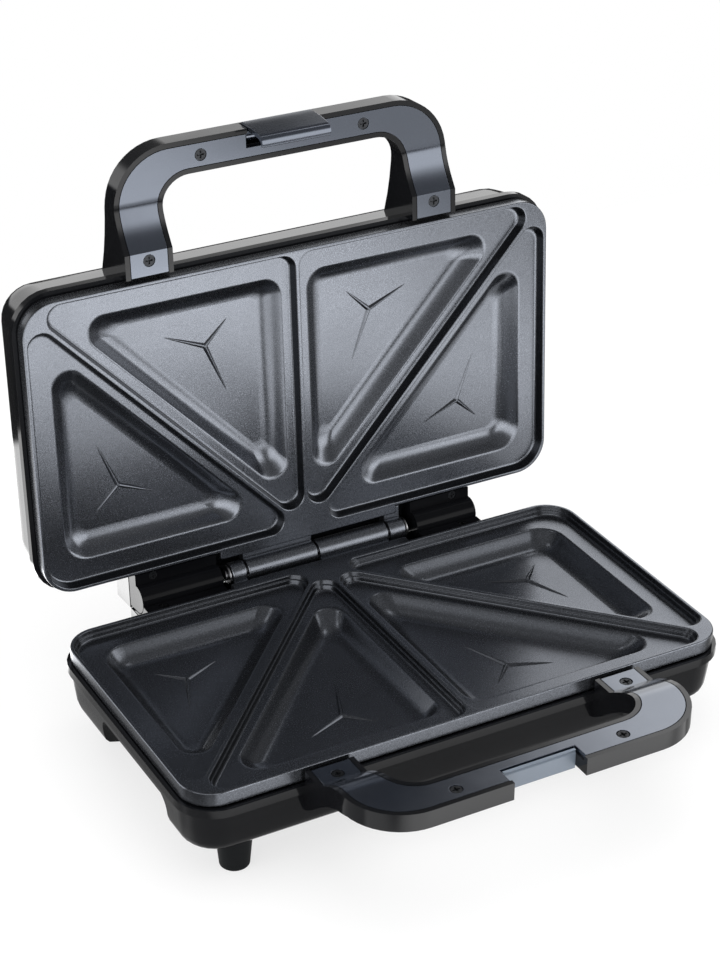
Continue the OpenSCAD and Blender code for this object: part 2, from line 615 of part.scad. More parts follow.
// lid cover: round nose about the pin line, web up to the lid casing
module lid_hinge_cover(x) {
    xs = x[0] + x[1] > 0 ? hinge_screw_x : -hinge_screw_x;
    difference() {
        along_x([x[0] + 0.2, x[1] - 0.2], concat(cover_front(1),
            arc(nose_r, 174, 360), [[hinge_y + nose_r, ear_drop]]));
        translate([xs, hinge_screw_y, -10]) cylinder(h = 30, r = screw_shank_r + 0.15, $fn = 24);
        translate([xs, hinge_screw_y, split_foot + 1.3 - 5]) cylinder(h = 5, r = 2.15, $fn = 32);
        // wire way
        if (xs > 0) translate([wire_way[0], hinge_y - 3.5, -3]) cube([wire_way[1], 7, ear_drop + 6]);
    }
}
module base_hinge_cover_left() color("#101113") seat() base_hinge_cover([-ear_out, -ear_in[0]]);
module base_hinge_cover_right() color("#101113") seat() base_hinge_cover([ear_in[1], ear_out]);
module lid_hinge_cover_left() color("#101113") on_lid() lid_hinge_cover([-ear_out, -ear_in[0]]);
module lid_hinge_cover_right() color("#101113") on_lid() lid_hinge_cover([ear_in[1], ear_out]);
module hinge_screws() for (m = [-1, 1])
    translate([m * hinge_screw_x, hinge_screw_y, -split_foot - 0.2])
        screw(2, 1.1, screw_shank_r, hinge_screw_l);
module base_hinge_screws() color("#55575b") seat() hinge_screws();
module lid_hinge_screws() color("#55575b") on_lid() flip() hinge_screws();

/* ---------- fixings, feet, cord inlet ---------- */
module plate_screws(low) both() for (p = post_at)
    translate([p[0], p[1], low + 5.6]) flip() screw(3.6, 2.4, 1.7, -low - 8 - plate_t - 0.6);
module lower_plate_screws() color("#a5a7aa") seat() plate_screws(base_z);
module upper_plate_screws() color("#a5a7aa") on_lid() flip() plate_screws(lid_z);
// plugs that close the screw holes in the lid's outer face
module lid_plugs() color("#1b1c1f") on_lid() flip() both() for (p = post_at)
    translate([p[0], p[1], lid_z]) rotate_extrude($fn = 32)
        polygon([[0, 0], [3.4, 0], [4, 0.5], [4, 3.6], [3.2, 3.6], [3.2, 1.6], [0, 1.6]]);
module foot() {
    neck_r = head_bore_r - run_fit;
    rotate_extrude($fn = 48) polygon([[0, 0], [foot_top_r - 2.4, 0], [foot_top_r - 1.6, 0.7],
        [foot_top_r, foot_h], [neck_r, foot_h], [neck_r, foot_h + wall + 0.6],
        [neck_r - 0.6, foot_h + wall + 1.2], [0, foot_h + wall + 1.2]]);
}
module front_feet() color("#24262a") both() translate([foot_at[0][0], foot_at[0][1], 0]) foot();
module rear_feet() color("#24262a") both() translate([foot_at[1][0], foot_at[1][1], 0]) foot();
module cord_gland() color("#1b1c1f") seat() translate([gland_x, case_d / 2 + 1.5, gland_z])
    rotate([90, 0, 0]) rotate_extrude($fn = 48)
        polygon([[3.6, 0], [6.6, 0], [7.4, 1], [7.4, 3.2], [gland_r, 3.2], [gland_r, 7], [3.6, 10]]);

/* ---------- electrics ---------- */
block_size = [34, 10, 11];             // terminal block, on the casing's floor near its back wall
block_at = [-76, case_d / 2 - 21, base_z + wall];
block_mid = block_at[1] + block_size[1] / 2;
module terminal_block() color("#d9d4c6") seat() translate(block_at) difference() {
    cube(block_size);
    for (i = [0:2]) translate([6 + i * 11, block_size[1] / 2, 4]) {
        cylinder(h = 10, r = 2, $fn = 24);
        translate([0, 10, 1]) rotate([90, 0, 0]) cylinder(h = 20, r = 1.3, $fn = 24);
    }
}
module thermostat() color("#c8c2b4") seat() translate([-92, 36, bowl_z - 8]) {
    cylinder(h = 5.4, r = 5.6, $fn = 32);
    translate([0, 0, 5.4 - eps]) cylinder(h = 2.6 + eps, r = 6.2, $fn = 32);
    for (m = [-1, 1]) translate([m * 3 - 0.4, -2, -2.2]) cube([0.8, 4, 2.3]);
}
module thermal_fuse() color("#b7a46a") seat() translate([-9, -6, reflector_z + reflector_t + 2.6]) {
    rotate([0, 90, 0]) cylinder(h = 18, r = 2.6, $fn = 24);
    translate([-6, 0, 0]) rotate([0, 90, 0]) cylinder(h = 30, r = 0.8, $fn = 24);
}
// path through the points P, with its corners rounded off over the length cut
function curve(P, cut) = [P[0], for (i = [1:len(P) - 2]) let (
    a = P[i] + cut * unit(P[i - 1] - P[i]), b = P[i] + cut * unit(P[i + 1] - P[i]))
    for (t = [0:0.25:1]) (1 - t) * (1 - t) * a + 2 * t * (1 - t) * P[i] + t * t * b, P[len(P) - 1]];
function tangent(C, i) = unit((i < len(C) - 1 ? unit(C[i + 1] - C[i]) : [0, 0, 0])
    + (i > 0 ? unit(C[i] - C[i - 1]) : [0, 0, 0]));
// insulated lead through the points P; it never runs upright
module lead(P, r = 1.1) let (C = curve(P, 2.2)) loft([for (i = [0:len(C) - 1]) let (
    t = tangent(C, i), side = unit(cross(t, [0, 0, 1])), up = cross(t, side))
    [for (a = [0:30:330]) C[i] + r * (cos(a) * side + sin(a) * up)]]);
// from the heater's right end through the right ear's wire way
way_mid = wire_way[0] + wire_way[1] / 2;
ear_path = [[7, loop_y + 2, tube_z], [9, 41, -18.9], [37, 44.5, -18.9], [54, 58, -18.5],
    [way_mid, 61, -16.8], [way_mid, case_d / 2 + 6, -15.5]];
module base_wires() color("#c9473b") seat() {
    lead([[block_at[0] + block_size[0] + 0.5, block_mid, -22], [-36, 46.5, -19], [-7, 42, -18.9],
        [-7, loop_y + 2, tube_z]]);
    lead([[block_at[0] - 0.5, block_mid, -21.5], [-83, 49.5, -18.6], [-85.8, 45.2, -19.8],
        [-86.6, 42.4, -23.2], [-87.7, 39.2, -24]], 0.95);
    lead(ear_path);
}
module lid_wires() color("#c9473b") on_lid() flip() {
    lead(back(ear_path));
    lead([[-7, loop_y + 2, tube_z], [-7, 53, -20], [0, 56, -31], [0, -26, -31]]);
}

/* ---------- lid lamps ---------- */
module lens(p) translate([p[0], p[1], lid_z - 0.9]) rotate_extrude($fn = 48)
    polygon([[0, 0], [2.2, 0.1], [3.6, 0.5], [4.6, 0.88], [4.6, 0.9], [lamp_r, 0.9], [lamp_r, 4.2],
        [0, 4.2]]);
module power_lens() color("#c02418") on_lid() flip() lens(lamp_at[0]);
module ready_lens() color("#2f9a3c") on_lid() flip() lens(lamp_at[1]);
module lamp_holders() color("#e6dfd0") on_lid() flip() for (p = lamp_at)
    translate([p[0], p[1], lid_z + 3.3]) cylinder(h = 4, r = 3, $fn = 32);

/* ---------- latch ---------- */
module on_latch() on_lid() translate([0, latch_y, latch_z]) rotate([latch_turn, 0, 0]) children();
module latch_clip() color("#0f1012") on_latch() difference() {
    union() {
        translate([-latch_w / 2, 0, 0]) rotate([0, 90, 0]) cylinder(h = latch_w, r = 2.6, $fn = 32);
        // curved outer skin with its hook, drawn in the side view
        translate([-latch_w / 2, 0, 0]) rotate([90, 0, 90]) linear_extrude(latch_w)
            polygon([[2, 1.6], [1.4, 2.6], [-3.4, 2.6], [-4.8, 2.2], [-5.5, 1.2], [-5.4, -3], [-5, -9],
                [-4.2, -14], [-3.6, -16], [-2.6, -17.1], [-1, -17.7], [0.8, -17.8], [1.2, -17.2],
                [0.4, -16.6], [-1, -16], [-2, -14.4], [-2.6, -9], [-2.6, -3]]);
    }
    translate([-latch_w, 0, 0]) rotate([0, 90, 0])
        cylinder(h = 2 * latch_w, r = latch_pin_r + run_fit, $fn = 32);
}
module latch_pin() color("#b4b6b9") on_lid()
    translate([-latch_slot / 2 - 3, latch_y, latch_z]) rotate([0, 90, 0])
        cylinder(h = latch_slot + 6, r = latch_pin_r, $fn = 32);

base_casing();
base_handle_cover();
base_handle_screws();
latch_catch();
lower_plate();
lower_heater();
lower_straps();
lower_strap_screws();
lower_reflector();
lower_plate_screws();
front_feet();
rear_feet();
hinge_pin();
pin_clips();
base_hinge_cover_left();
base_hinge_cover_right();
base_hinge_screws();
cord_gland();
terminal_block();
thermostat();
thermal_fuse();
base_wires();
lid_casing();
lid_handle_cover();
lid_handle_screws();
upper_plate();
upper_heater();
upper_straps();
upper_strap_screws();
upper_reflector();
upper_plate_screws();
lid_plugs();
lid_hinge_cover_left();
lid_hinge_cover_right();
lid_hinge_screws();
power_lens();
ready_lens();
lamp_holders();
lid_wires();
latch_clip();
latch_pin();
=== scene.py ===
"""Looks of the countertop sandwich toaster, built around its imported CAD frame.

Lengths are given in millimetres in the "face frame" of the cooking plates (crest plane z = 0,
middle of the plates at the origin) and placed by seat() on the base, turned_on_lid() on the lid.
"""
import json
import math

import bmesh
import bpy
from mathutils import Matrix, Vector
from mathutils.geometry import delaunay_2d_cdt

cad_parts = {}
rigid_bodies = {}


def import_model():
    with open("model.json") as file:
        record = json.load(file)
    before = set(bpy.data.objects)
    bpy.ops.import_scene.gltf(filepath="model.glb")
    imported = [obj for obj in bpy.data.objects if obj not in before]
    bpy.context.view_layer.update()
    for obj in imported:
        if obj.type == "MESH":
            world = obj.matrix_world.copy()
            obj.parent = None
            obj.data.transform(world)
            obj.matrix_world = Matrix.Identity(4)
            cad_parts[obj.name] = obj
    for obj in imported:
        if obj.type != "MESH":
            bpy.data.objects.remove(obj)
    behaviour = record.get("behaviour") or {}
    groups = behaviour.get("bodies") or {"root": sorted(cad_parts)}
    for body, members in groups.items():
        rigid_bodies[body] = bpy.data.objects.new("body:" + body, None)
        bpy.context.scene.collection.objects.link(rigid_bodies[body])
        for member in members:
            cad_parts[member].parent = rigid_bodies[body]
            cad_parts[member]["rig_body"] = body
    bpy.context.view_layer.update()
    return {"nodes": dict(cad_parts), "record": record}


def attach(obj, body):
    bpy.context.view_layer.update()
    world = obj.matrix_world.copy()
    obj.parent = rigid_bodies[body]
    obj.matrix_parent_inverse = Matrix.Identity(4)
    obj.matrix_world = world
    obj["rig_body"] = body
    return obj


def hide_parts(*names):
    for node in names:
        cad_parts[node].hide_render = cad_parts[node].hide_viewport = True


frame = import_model()

# ---------------------------------------------------------------- sizes, mm
FACE_H = 48.6
HINGE_Y = 79.6
LID_OPEN = math.radians(93.5)
PLATE_W, PLATE_D, PLATE_R, PLATE_T = 256.0, 135.6, 15.0, 6.6
HALF_W, HALF_D = PLATE_W / 2, PLATE_D / 2
RIM_W, RIDGE_HALF, PAD_DROP, PAD_R = 1.7, 0.9, 4.4, 6.5
POCKET_DEPTH, POCKET_EDGE, POCKET_RIDGE = 7.6, 12.0, 6.0
FLOOR_Z = -PAD_DROP - POCKET_DEPTH
KNUCKLE_R, BARREL_STEPS = 5.2, 48
SHELF_X = (-44, 46.5)
SIDE_CELL = [(-HALF_W, -HALF_D), (0, HALF_D), (-HALF_W, HALF_D)]
FRONT_CELL = [(-HALF_W, -HALF_D), (0, -HALF_D), (0, HALF_D)]
KNUCKLES_UP = [(-32.5, 2.5), (40.7, 48.7)]
KNUCKLES_LOW = [(-40.5, -33.7), (3.7, 39.5)]
SCORE_AT = [(-86.2, 27.8), (-40.8, -27.8)]
SCORE_TIPS = [[(-112, 24), (23, 20), (136, 15.5)], [(-157, 21.5), (-44, 16.5), (68, 25.5)]]  # angle, length
SCORE_HIGH, SCORE_HALF, SCORE_SUNK = 1.1, 1.15, 0.06
# how much painted shade the steep channel walls and the sides of the score ribs take
CHANNEL_SHADE, SCORE_SHADE = 0.75, 0.7


def seat(p):
    """Places a point of the lower plate on the base."""
    return Vector((p[0], p[1], p[2] + FACE_H)) / 1000


def turned_on_lid(p):
    """The upper plate faces down on the lid, and the lid is turned open about the hinge."""
    y, z = p[1] - HINGE_Y, -p[2]
    c, s = math.cos(LID_OPEN), math.sin(LID_OPEN)
    return Vector((p[0], y * c + z * s + HINGE_Y, -y * s + z * c + FACE_H)) / 1000


# ---------------------------------------------------------------- mesh limits, m and degrees
WELD = 1.5e-5
BEVEL_FROM = 32
PLATE_SHARP, SOFT_SHARP = 60, 40


# ---------------------------------------------------------------- materials
def fill(tree, socket, value):
    """Links a socket to a node's output, or sets it to a plain value."""
    if hasattr(value, "is_output"):
        tree.links.new(value, socket)
    else:
        socket.default_value = value


def calc(tree, op, a, b):
    """One step of arithmetic in a node tree."""
    node = tree.nodes.new("ShaderNodeMath")
    node.operation = op
    fill(tree, node.inputs[0], a)
    fill(tree, node.inputs[1], b)
    return node.outputs[0]


class Mat:
    """A node material with a Principled shader and short helpers for its textures."""

    def __init__(self, name, **sockets):
        self.mat = bpy.data.materials.new(name)
        self.mat.use_nodes = True
        self.nt = self.mat.node_tree
        self.bsdf = self.nt.nodes["Principled BSDF"]
        self.coord = self.add("ShaderNodeTexCoord").outputs["Object"]
        for key, value in sockets.items():
            self.set(self.bsdf, key.replace("_", " "), value)

    def add(self, kind, **inputs):
        node = self.nt.nodes.new(kind)
        for key, value in inputs.items():
            self.set(node, key.replace("_", " "), value)
        return node

    def set(self, node, key, value):
        fill(self.nt, node.inputs[key], value)

    def noise(self, scale, detail=3.0, rough=0.55, stretch=None):
        vector = self.coord
        if stretch:
            mapping = self.add("ShaderNodeMapping", Vector=self.coord, Scale=stretch)
            vector = mapping.outputs["Vector"]
        return self.add("ShaderNodeTexNoise", Vector=vector, Scale=scale, Detail=detail,
                        Roughness=rough).outputs["Fac"]

    def ramp(self, fac, low, high, a=0.0, b=1.0):
        node = self.add("ShaderNodeMapRange", Value=fac)
        node.clamp = True
        for i, v in enumerate((low, high, a, b)):
            node.inputs[i + 1].default_value = v
        return node.outputs["Result"]

    def mix(self, fac, a, b):
        node = self.nt.nodes.new("ShaderNodeMix")
        node.data_type = "RGBA"
        for socket, value in ((0, fac), (6, a), (7, b)):
            fill(self.nt, node.inputs[socket], value)
        return node.outputs[2]

    def math(self, op, a, b):
        return calc(self.nt, op, a, b)

    def bump(self, height, distance, strength=1.0, over=None):
        node = self.add("ShaderNodeBump", Height=height, Distance=distance, Strength=strength)
        if over is not None:
            self.set(node, "Normal", over)
        return node.outputs["Normal"]


def rgb(*v):
    return (*v, 1.0)


def shade(colour, factor):
    """A colour times a factor, as a socket takes it."""
    return rgb(*[min(1, c * factor) for c in colour])


def plastic(name, colour, rough=0.16, spec=0.7, smudge=0.08, grain=0.0, ior=1.5, tint=(1, 1, 1)):
    """Moulded plastic: colour drift, smudged gloss, fine scratches, moulded grain if asked for."""
    m = Mat(name, IOR=ior)
    m.set(m.bsdf, "Specular IOR Level", spec)
    m.set(m.bsdf, "Specular Tint", rgb(*tint))
    drift = m.ramp(m.noise(14, 4), 0.3, 0.7)
    light = [min(1.0, c * 1.35 + 0.002) for c in colour]
    speck = m.ramp(m.noise(900, 2, 0.7), 0.73, 0.8)
    base = m.mix(drift, rgb(*colour), rgb(*light))
    dust = m.mix(m.math("MULTIPLY", speck, 0.25), base, rgb(0.1, 0.1, 0.1))
    m.set(m.bsdf, "Base Color", dust)
    cloud = m.ramp(m.noise(22, 5, 0.6), 0.35, 0.75, rough, rough + smudge)
    streak = m.ramp(m.noise(60, 2, 0.5, (1, 14, 14)), 0.62, 0.8, 0.0, smudge * 0.8)
    m.set(m.bsdf, "Roughness", m.math("ADD", cloud, streak))
    normal = m.bump(m.noise(35, 2), 0.0004, 0.12)
    if grain:
        normal = m.bump(m.noise(2200, 2, 0.6), 0.00008, grain, normal)
    m.set(m.bsdf, "Normal", normal)
    return m.mat


def coating(name, dark, light, rough, metallic):
    """Non-stick coating over cast metal: fine speckle, orange-peel bump, worn and smeared gloss."""
    m = Mat(name, Metallic=metallic)
    m.set(m.bsdf, "Specular IOR Level", 0.6)
    fine = m.ramp(m.noise(2100, 3, 0.7), 0.4, 0.65)
    cells = m.add("ShaderNodeTexVoronoi", Vector=m.coord, Scale=1300.0).outputs["Distance"]
    flakes = m.ramp(cells, 0.0, 0.3, 1.0, 0.0)
    cloud = m.ramp(m.noise(9, 5, 0.6), 0.3, 0.75)
    base = m.mix(fine, rgb(*dark), rgb(*light))
    base = m.mix(m.math("MULTIPLY", flakes, 0.28), base, shade(light, 1.9))
    base = m.mix(m.math("MULTIPLY", cloud, 0.25), base, shade(dark, 0.72))
    # painted shade: the plate's steepness attribute darkens steep channel, pocket and score walls toward a
    # near-black of the dark tone
    painted_shade = m.nt.nodes.new("ShaderNodeAttribute")
    painted_shade.attribute_name = "painted_shade"
    base = m.mix(painted_shade.outputs["Fac"], base, shade(dark, 0.08))
    m.set(m.bsdf, "Base Color", base)
    m.set(m.bsdf, "Roughness", m.math("ADD", m.ramp(fine, 0, 1, rough, rough + 0.06),
                                      m.ramp(cloud, 0, 1, -0.03, 0.05)))
    normal = m.bump(m.noise(1500, 3, 0.65), 0.00002, 0.22)
    m.set(m.bsdf, "Normal", m.bump(m.noise(120, 2), 0.0002, 0.05, normal))
    return m.mat


def metal(name, colour, rough):
    """Bare or plated metal with drawn scratches and dull spots."""
    m = Mat(name, Metallic=1.0)
    dull = m.ramp(m.noise(45, 5, 0.65), 0.35, 0.7)
    m.set(m.bsdf, "Base Color", m.mix(dull, rgb(*colour), shade(colour, 0.72)))
    m.set(m.bsdf, "Roughness", m.ramp(dull, 0, 1, rough, rough + 0.16))
    lines = m.noise(700, 3, 0.6, (1, 16, 16))
    m.set(m.bsdf, "Normal", m.bump(lines, 0.00005, 0.35))
    return m.mat


def matt(name, colour, rough, bump=0.4, scale=420.0, spec=0.35):
    """Rubber, ceramic and woven sleeves: rough, mottled, with a fine grain."""
    m = Mat(name)
    m.set(m.bsdf, "Specular IOR Level", spec)
    cloud = m.ramp(m.noise(38, 5, 0.65), 0.32, 0.7)
    m.set(m.bsdf, "Base Color", m.mix(cloud, rgb(*colour), shade(colour, 0.7)))
    m.set(m.bsdf, "Roughness", m.ramp(m.noise(80, 4), 0.3, 0.7, rough - 0.06, min(1, rough + 0.08)))
    m.set(m.bsdf, "Normal", m.bump(m.noise(scale, 3), 0.00012, bump))
    return m.mat


def lens_glass(name, colour):
    """Coloured lamp lens with a fluted inner side."""
    m = Mat(name, Transmission_Weight=0.55, IOR=1.49)
    m.set(m.bsdf, "Emission Color", rgb(*colour))
    m.set(m.bsdf, "Emission Strength", 0.05)
    m.set(m.bsdf, "Base Color", m.mix(m.noise(60), rgb(*colour), shade(colour, 0.6)))
    m.set(m.bsdf, "Roughness", m.ramp(m.noise(90), 0.3, 0.7, 0.05, 0.16))
    m.set(m.bsdf, "Normal", m.bump(m.noise(160, 1), 0.0002, 0.25))
    return m.mat


SLOTS = {
    "casing_plastic": plastic("casing_gloss", (0.0025, 0.0027, 0.0034), 0.08, 0.27, 0.06),
    "cover_plastic": plastic("cover_gloss", (0.003, 0.0042, 0.007), 0.12, 0.58, 0.05, ior=1.9,
                             tint=(0.84, 0.92, 1.08)),
    "hinge_plastic": plastic("hinge_gloss", (0.0014, 0.0015, 0.002), 0.12, 0.06, 0.08),
    "catch_plastic": plastic("catch_satin", (0.12, 0.145, 0.18), 0.36, 0.5, 0.08, 0.3),
    "nonstick_plate": coating("nonstick", (0.108, 0.115, 0.13), (0.185, 0.197, 0.222), 0.23, 0.96),
    "heater_steel": metal("heater_sheath", (0.32, 0.31, 0.3), 0.42),
    "sheet_steel": metal("sheet_bright", (0.62, 0.62, 0.62), 0.24),
    "screw_steel": metal("screw_dark", (0.045, 0.047, 0.051), 0.3),
    "pin_steel": metal("pin_bright", (0.3, 0.3, 0.31), 0.25),
    "foot_rubber": matt("foot_rubber", (0.009, 0.01, 0.011), 0.55, spec=0.12),
    "ceramic_block": matt("ceramic", (0.66, 0.63, 0.55), 0.45, 0.25),
    "fuse_metal": metal("fuse_cap", (0.55, 0.44, 0.26), 0.3),
    "wire_sleeve": matt("wire_sleeve", (0.42, 0.06, 0.045), 0.6, 0.6, 900),
    "power_lens": lens_glass("lens_red", (0.75, 0.05, 0.03)),
    "ready_lens": lens_glass("lens_green", (0.05, 0.55, 0.12)),
}

NODE_SLOT = {row["node"]: row["material_slot"] for row in frame["record"]["subparts"]}


# ---------------------------------------------------------------- mesh helpers
def unit(v):
    return v / v.length


def inset_poly(poly, by):
    """Polygon (anticlockwise) with edge i moved inwards by by[i]."""
    pts = [Vector(p) for p in poly]
    out = []
    for i, b in enumerate(pts):
        a, c = pts[i - 1], pts[(i + 1) % len(pts)]
        d1, d2 = unit(b - a), unit(c - b)
        n1, n2 = Vector((-d1.y, d1.x)), Vector((-d2.y, d2.x))
        p1, p2 = b + n1 * by[i - 1], b + n2 * by[i]
        k = (p2 - p1).dot(n2) / d1.dot(n2)
        out.append(p1 + d1 * k)
    return out


def round_poly(poly, radii, steps=10):
    """Anticlockwise polygon with each corner rounded to its radius."""
    out = []
    n = len(poly)
    for i in range(n):
        a, b, c = Vector(poly[i - 1]), Vector(poly[i]), Vector(poly[(i + 1) % n])
        u, v = unit(a - b), unit(c - b)
        h = math.acos(max(-1, min(1, u.dot(v)))) / 2
        o = b + unit(u + v) * radii[i] / math.sin(h)
        q = b + u * radii[i] / math.tan(h)
        t0, w = math.atan2(q.y - o.y, q.x - o.x), math.pi - 2 * h
        for j in range(steps + 1):
            t = t0 + w * j / steps
            out.append(Vector((o.x + radii[i] * math.cos(t), o.y + radii[i] * math.sin(t))))
    return out


def rrect(w, d, r, steps=12):
    """Rounded rectangle about the origin."""
    return round_poly([(-w / 2, -d / 2), (w / 2, -d / 2), (w / 2, d / 2), (-w / 2, d / 2)], [r] * 4, steps)


def spline(points, cuts=3):
    """Catmull-Rom points through a profile."""
    pts = [Vector(p) for p in points]
    pts = [pts[0] * 2 - pts[1]] + pts + [pts[-1] * 2 - pts[-2]]
    out = []
    for i in range(1, len(pts) - 2):
        p0, p1, p2, p3 = pts[i - 1:i + 3]
        for j in range(cuts):
            t = j / cuts
            out.append(0.5 * ((2 * p1) + (p2 - p0) * t + (2 * p0 - 5 * p1 + 4 * p2 - p3) * t * t
                              + (3 * p1 - p0 - 3 * p2 + p3) * t ** 3))
    out.append(pts[-2])
    return out


class Build:
    """Collects vertices and faces in the face frame, then makes a smooth object."""

    def __init__(self):
        self.v = []
        self.f = []

    def ring(self, pts, z):
        start = len(self.v)
        self.v += [Vector((p[0], p[1], z)) for p in pts]
        return list(range(start, len(self.v)))

    def bridge(self, a, b):
        n = len(a)
        self.f += [(a[i], a[(i + 1) % n], b[(i + 1) % n], b[i]) for i in range(n)]

    def loft(self, rings):
        ids = [self.ring(p, z) for p, z in rings]
        for a, b in zip(ids, ids[1:]):
            self.bridge(a, b)
        return ids

    def plane(self, outer, holes):
        """Fills between index loops that lie in one plane."""
        index, flat, edges, outlines = [], [], [], []
        for loop in [outer] + holes:
            first, n = len(index), len(loop)
            outlines.append([self.v[i].xy for i in loop])
            edges += [(first + i, first + (i + 1) % n) for i in range(n)]
            index += loop
            flat += outlines[-1]
        verts, _, faces, origin, _, _ = delaunay_2d_cdt(flat, edges, [], 0, 1e-7)
        for face in faces:
            c = sum((verts[i] for i in face), Vector((0, 0))) / len(face)
            if inside(c, outlines[0]) and not any(inside(c, h) for h in outlines[1:]):
                self.f.append(tuple(index[origin[i][0]] for i in face))

    def tube(self, span, y, z, radius, chamfer=0.6):
        """Round bar along x with rounded ends."""
        ends = [(0, chamfer), (0.15 * chamfer, 0.4 * chamfer), (chamfer, 0)]
        rings = []
        for x, less in [(span[0] + a, b) for a, b in ends] + [(span[1] - a, b) for a, b in reversed(ends)]:
            start, r = len(self.v), radius - less
            for i in range(BARREL_STEPS):
                t = 2 * math.pi * i / BARREL_STEPS
                self.v.append(Vector((x, y + r * math.cos(t), z + r * math.sin(t))))
            rings.append(list(range(start, len(self.v))))
        for a, b in zip(rings, rings[1:]):
            self.bridge(a, b)
        self.f.append(tuple(reversed(rings[0])))
        self.f.append(tuple(rings[-1]))

    def block(self, x, y, z, r):
        """Box with rounded edges all round."""
        mid = Vector(((x[0] + x[1]) / 2, (y[0] + y[1]) / 2))
        w, d = x[1] - x[0], y[1] - y[0]
        rings = []
        for e, h in ((r, z[0]), (r * 0.3, z[0] + r * 0.3), (0, z[0] + r), (0, z[1] - r),
                     (r * 0.3, z[1] - r * 0.3), (r, z[1])):
            pts = rrect(w - 2 * e, d - 2 * e, max(r * 1.4 - e * 0.5, 0.05), 4)
            rings.append(([p + mid for p in pts], h))
        ids = self.loft(rings)
        self.f.append(tuple(reversed(ids[0])))
        self.f.append(tuple(ids[-1]))


def inside(p, poly):
    """Whether a point lies in a polygon."""
    hit = False
    for i, a in enumerate(poly):
        b = poly[i - 1]
        if (a.y > p.y) != (b.y > p.y) and p.x < (b.x - a.x) * (p.y - a.y) / (b.y - a.y) + a.x:
            hit = not hit
    return hit


def weighted(obj):
    """Shading normals that follow the large faces."""
    mod = obj.modifiers.new("normals", "WEIGHTED_NORMAL")
    mod.keep_sharp = True
    mod.weight = 60


def smooth_by_angle(bm, degrees):
    """Smooth faces, with edges over the given angle kept sharp."""
    limit = math.radians(degrees)
    for f in bm.faces:
        f.smooth = True
    for e in bm.edges:
        if len(e.link_faces) == 2:
            e.smooth = e.calc_face_angle(0) < limit


def show(obj, body, node, slot):
    """Gives a piece its material, its body and the CAD node that it stands in for."""
    obj.data.materials.append(SLOTS[slot])
    weighted(obj)
    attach(obj, body)
    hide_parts(node)


def make(name, build, place, body, node, slot):
    """Object from a Build, placed in the row frame."""
    me = bpy.data.meshes.new(name)
    me.from_pydata([place(p) for p in build.v], [], build.f)
    bm = bmesh.new()
    bm.from_mesh(me)
    bmesh.ops.remove_doubles(bm, verts=bm.verts, dist=2e-7)
    bmesh.ops.recalc_face_normals(bm, faces=bm.faces)
    smooth_by_angle(bm, PLATE_SHARP)
    bm.to_mesh(me)
    bm.free()
    obj = bpy.data.objects.new(name, me)
    bpy.context.scene.collection.objects.link(obj)
    show(obj, body, node, slot)
    return obj


# ---------------------------------------------------------------- cooking plates
def pad_outline(cell, e):
    """Edge of the sunken pad of a side cell (0) or a front cell (1), e further in than the crest."""
    r, h, w = PAD_R - e * 0.6, RIDGE_HALF + e, RIM_W + e
    if cell == 0:
        return round_poly(inset_poly(SIDE_CELL, [h, w, w]), [r, r, PLATE_R - w])
    return round_poly(inset_poly(FRONT_CELL, [w, h, h]), [r, r, r])


def pocket_outline(cell, e):
    """Edge of a cell's pocket, moved in by e, with corners that grow tighter inwards."""
    r, m = POCKET_RIDGE + e, POCKET_EDGE + e
    a, b, c = max(8 - e * 0.55, 1.5), max(9 - e * 0.6, 2), max(12 - e * 0.7, 2)
    if cell == 0:
        return round_poly(inset_poly(SIDE_CELL, [r, m, m]), [a, a, c])
    return round_poly(inset_poly(FRONT_CELL, [m, r, r]), [a, b, a])


# profiles: how far inwards, at which height
PLATE_EDGE = [(5, -PLATE_T), (0.5, -PLATE_T), (0.15, -PLATE_T + 0.15), (0, -PLATE_T + 0.5), (0, -0.6),
              (0.06, -0.36), (0.2, -0.14), (0.36, -0.04), (0.55, 0)]
BOWL_WALL = [(-2.6, -PLATE_T), (-2.0, -8), (0, -10.4), (2.8, -14.2), (5.8, -14.8)]
PLAIN_WALL = [(-0.42, 0), (-0.2, -0.05), (-0.02, -0.2), (0.07, -0.45), (0.5, -2.0), (0.86, -3.5),
              (1.0, -3.95), (1.3, -4.27), (1.75, -4.38), (2.2, -4.4)]
STEPPED_WALL = [(-0.42, 0), (-0.2, -0.05), (-0.02, -0.2), (0.06, -0.45), (0.4, -1.8), (0.5, -1.98),
                (0.82, -2.06), (0.95, -2.25), (1.28, -3.6), (1.42, -4.02), (1.8, -4.31), (2.3, -4.4)]
# how far inwards, at which share of the pocket's depth
POCKET_WALL = [(-0.5, 0), (0, 0.006), (0.7, 0.05), (1.8, 0.24), (3.8, 0.6), (5.6, 0.82), (7.6, 0.95),
               (9.6, 0.996), (10.6, 1)]


def score(build, cell, side):
    """Three-armed ridge on a pocket floor, each arm a tapering rounded rib."""
    cx, cy = SCORE_AT[cell]
    for angle, length in SCORE_TIPS[cell]:
        t = math.radians(angle)
        along, across = Vector((math.cos(t), math.sin(t))), Vector((-math.sin(t), math.cos(t)))
        rows = []
        for i in range(15):
            s = i / 14
            half = SCORE_HALF * (1 - s) ** 0.7 + 0.12
            high = SCORE_HIGH * (1 - s) ** 0.55 + 0.02
            start = len(build.v)
            for j in range(9):
                k = -1 + j / 4
                p = Vector((cx, cy)) + along * (length * s - 0.6) + across * half * k
                z = FLOOR_Z - SCORE_SUNK + high * math.cos(k * math.pi / 2) ** 1.2
                build.v.append(Vector((p.x * side, p.y, z)))
            rows.append(list(range(start, len(build.v))))
        for a, b in zip(rows, rows[1:]):
            build.f += [(a[j], a[j + 1], b[j + 1], b[j]) for j in range(8)]
        build.f.append(tuple(rows[0]))
        build.f.append(tuple(reversed(rows[-1])))


